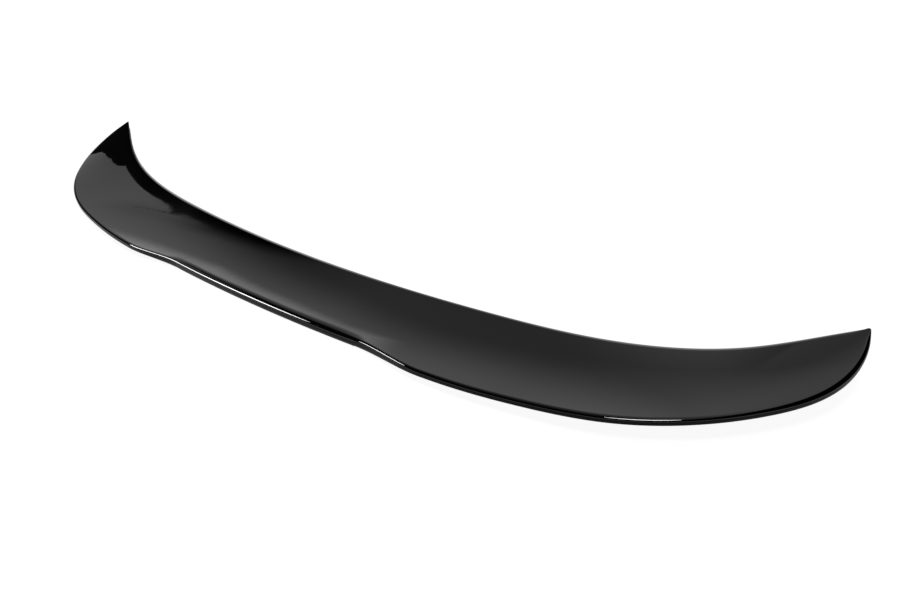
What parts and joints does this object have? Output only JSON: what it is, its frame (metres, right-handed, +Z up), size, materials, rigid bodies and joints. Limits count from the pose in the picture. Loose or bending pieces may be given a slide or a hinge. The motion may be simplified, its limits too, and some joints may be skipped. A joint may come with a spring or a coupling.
{
  "type": "car rear spoiler",
  "caption": "Gloss black moulded lip spoiler for a car's boot lid: a swept band with a lobe at each side, a recessed middle and upturned pointed tips, taped on from below",
  "frame": {"origin": "on the plane that the tapes rest on, under the middle of the part's box, on the car's centre line", "axes": "+X to the right seen from behind the car, +Y to the front of the car, +Z up"},
  "size_m": [1.1696, 0.2255, 0.0434],
  "materials": {
    "gloss_black_plastic": "high gloss lacquered black",
    "grey_foam_tape": "matt closed-cell foam"
  },
  "bodies": {
    "root": {"spoiler_shell": "gloss_black_plastic", "front_tape": "grey_foam_tape", "rear_tape": "grey_foam_tape"}
  },
  "joints": []
}
